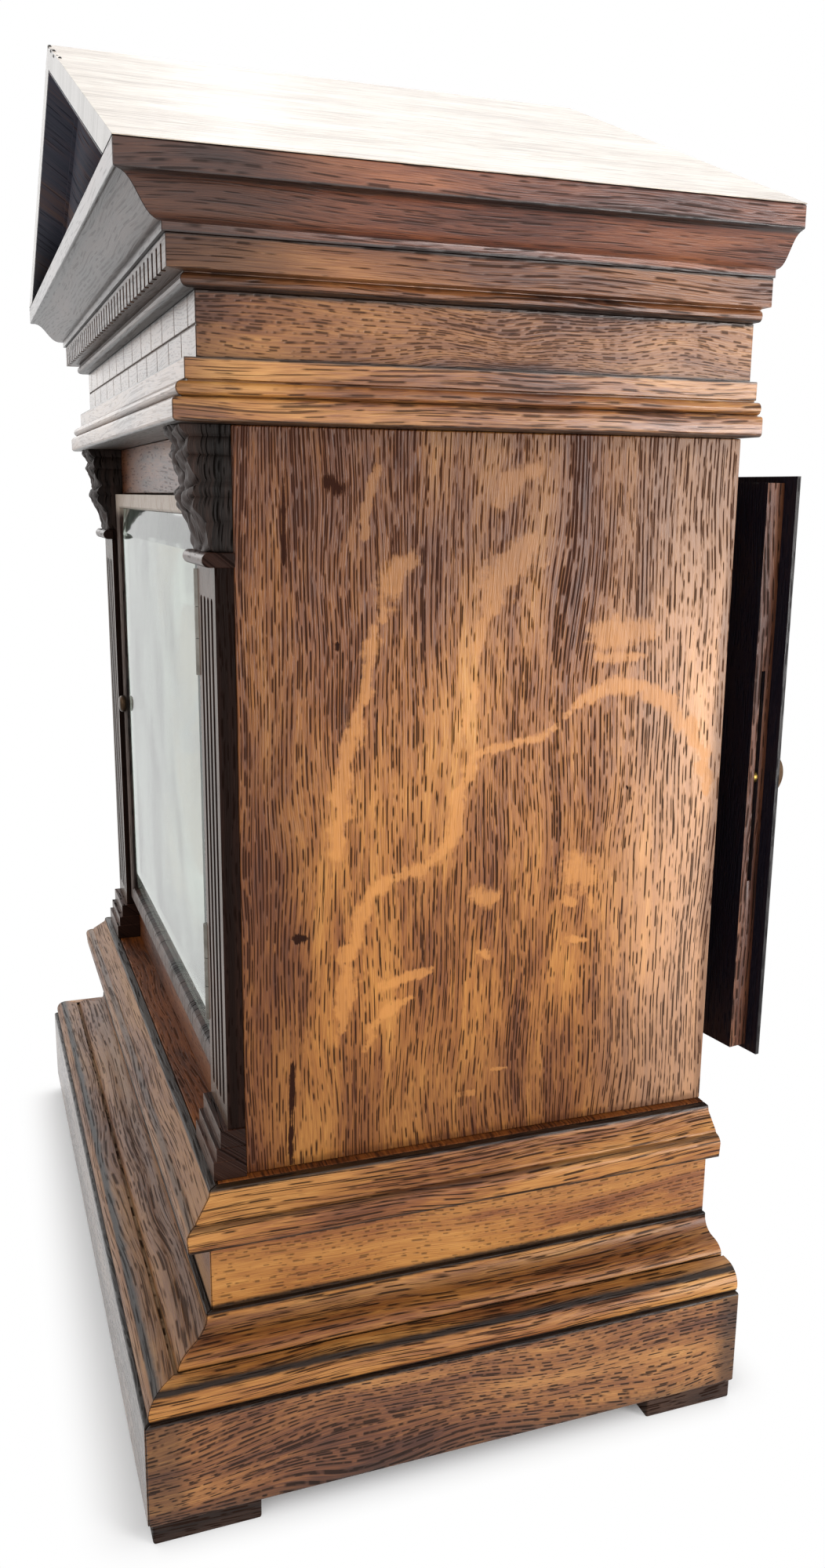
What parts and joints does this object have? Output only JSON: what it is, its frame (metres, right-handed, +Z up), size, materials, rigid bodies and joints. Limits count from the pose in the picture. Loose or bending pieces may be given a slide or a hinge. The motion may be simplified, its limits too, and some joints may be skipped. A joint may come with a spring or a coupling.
{
  "type": "bracket clock",
  "caption": "Oak bracket clock with a gabled roof, corbelled pilasters, a glazed front door, a hinged back door and a fusee timepiece movement.",
  "frame": {"origin": "the middle of the clock's footprint on the floor, under its feet", "axes": "+Z up, the glazed front faces -Y, +X to the right as seen from the front"},
  "size_m": [0.343, 0.2614, 0.48],
  "materials": {
    "oak": "waxed",
    "dark_oak": "waxed",
    "carved_oak": "dry",
    "black_board": "painted black",
    "glass": "clear",
    "brass": "brushed",
    "gilt_brass": "gilt",
    "silvered_brass": "silvered",
    "bronze": "dark patina",
    "steel": "polished",
    "blued_steel": "blued",
    "gut": "dry"
  },
  "bodies": {
    "case": {"feet": "dark_oak", "plinth": "oak", "base_board": "oak", "ovolo_moulding": "oak", "ogee_moulding": "oak", "die_frame": "oak", "platform_board": "oak", "surbase_moulding": "oak", "side_panel_left": "oak", "side_panel_right": "oak", "front_frame": "oak", "pilasters": "dark_oak", "pilaster_bases": "dark_oak", "capitals": "dark_oak", "corbels": "carved_oak", "architrave": "oak", "frieze": "oak", "dentil_band": "oak", "cornice": "oak", "top_board": "oak", "roof_boards": "oak", "pediment_panels": "dark_oak", "ceiling_board": "oak", "back_frame": "oak", "case_hinge_leaves": "brass", "strike_plate": "brass", "dial_mask": "black_board", "dial_plate": "gilt_brass", "chapter_ring": "silvered_brass", "spandrels": "gilt_brass", "seat_board": "oak", "front_plate": "brass", "back_plate": "brass", "pillars": "brass", "back_cock": "brass", "line_run": "gut"},
    "front_door": {"front_door_frame": "dark_oak", "front_door_glass": "glass", "front_door_hinge_leaves": "brass"},
    "front_knob": {"front_door_knob": "brass"},
    "back_door": {"back_door_board": "dark_oak", "back_door_sheet": "dark_oak", "back_door_hinge_leaves": "brass"},
    "back_latch": {"thumb_turn": "bronze", "latch_blade": "brass"},
    "minute": {"minute_hand": "blued_steel", "cannon_pinion": "brass"},
    "motion": {"minute_wheel": "brass"},
    "hour": {"hour_hand": "blued_steel", "hour_wheel": "brass"},
    "fusee_arbor": {"fusee": "brass"},
    "drum": {"barrel": "brass", "line_on_barrel": "gut"},
    "great": {"great_wheel": "brass"},
    "centre": {"centre_wheel": "brass"},
    "third": {"third_wheel": "brass"},
    "escape": {"escape_wheel": "brass"},
    "anchor": {"pallets": "steel"},
    "pendulum": {"pendulum_rod": "steel", "pendulum_bob": "brass"}
  },
  "joints": [
    {"name": "front_door_hinge", "type": "hinge", "parent": "case", "child": "front_door", "pos_m": [0.1085, -0.0713, 0.2251], "axis": [0, 0, 1], "range_deg": [0, 100]},
    {"name": "front_knob_turn", "type": "hinge", "parent": "front_door", "child": "front_knob", "pos_m": [-0.1048, -0.0697, 0.2251], "axis": [0, 1, 0], "range_deg": [-90, 0]},
    {"name": "back_door_hinge", "type": "hinge", "parent": "case", "child": "back_door", "pos_m": [-0.1235, 0.109, 0.2203], "axis": [0, 0, 1], "range_deg": [-9, 96]},
    {"name": "back_latch_turn", "type": "hinge", "parent": "back_door", "child": "back_latch", "pos_m": [0.10964, 0.13924, 0.2203], "axis": [-0.1564, 0.9877, 0], "range_deg": [0, 18]},
    {"name": "minute_hand_turn", "type": "hinge", "parent": "case", "child": "minute", "pos_m": [0, -0.0563, 0.2251], "axis": [0, 1, 0], "continuous": true},
    {"name": "minute_wheel_turn", "type": "hinge", "parent": "case", "child": "motion", "pos_m": [-0.02368, -0.0369, 0.21648], "axis": [0, 1, 0], "continuous": true},
    {"name": "hour_hand_turn", "type": "hinge", "parent": "case", "child": "hour", "pos_m": [0, -0.0541, 0.2251], "axis": [0, 1, 0], "continuous": true},
    {"name": "fusee_wind", "type": "hinge", "parent": "case", "child": "fusee_arbor", "pos_m": [0.02797, -0.0084, 0.2018], "axis": [0, 1, 0], "range_deg": [0, 5760]},
    {"name": "barrel_turn", "type": "hinge", "parent": "case", "child": "drum", "pos_m": [-0.03135, -0.0084, 0.18701], "axis": [0, 1, 0], "range_deg": [0, 3168]},
    {"name": "great_wheel_turn", "type": "hinge", "parent": "case", "child": "great", "pos_m": [0.02797, 0.0116, 0.2018], "axis": [0, 1, 0], "continuous": true},
    {"name": "centre_wheel_turn", "type": "hinge", "parent": "case", "child": "centre", "pos_m": [0, 0.0161, 0.2251], "axis": [0, 1, 0], "continuous": true},
    {"name": "third_wheel_turn", "type": "hinge", "parent": "case", "child": "third", "pos_m": [-0.015, -0.0079, 0.24791], "axis": [0, 1, 0], "continuous": true},
    {"name": "escape_wheel_turn", "type": "hinge", "parent": "case", "child": "escape", "pos_m": [0, 0.0061, 0.26725], "axis": [0, 1, 0], "continuous": true},
    {"name": "pallets_swing", "type": "hinge", "parent": "case", "child": "anchor", "pos_m": [0, 0.0061, 0.29188], "axis": [0, 1, 0], "range_deg": [-3, 3]},
    {"name": "pendulum_swing", "type": "hinge", "parent": "case", "child": "pendulum", "pos_m": [0, 0.0321, 0.29188], "axis": [0, 1, 0], "range_deg": [-3, 3]}
  ],
  "couplings": [
    {"joint": "minute_wheel_turn", "follows": "minute_hand_turn", "ratio": -0.33333},
    {"joint": "hour_hand_turn", "follows": "minute_hand_turn", "ratio": 0.083333},
    {"joint": "barrel_turn", "follows": "fusee_wind", "ratio": 0.55},
    {"joint": "centre_wheel_turn", "follows": "third_wheel_turn", "ratio": -0.083333},
    {"joint": "great_wheel_turn", "follows": "third_wheel_turn", "ratio": 0.0069444},
    {"joint": "escape_wheel_turn", "follows": "third_wheel_turn", "ratio": -11.714},
    {"joint": "pallets_swing", "follows": "pendulum_swing", "ratio": 1}
  ]
}
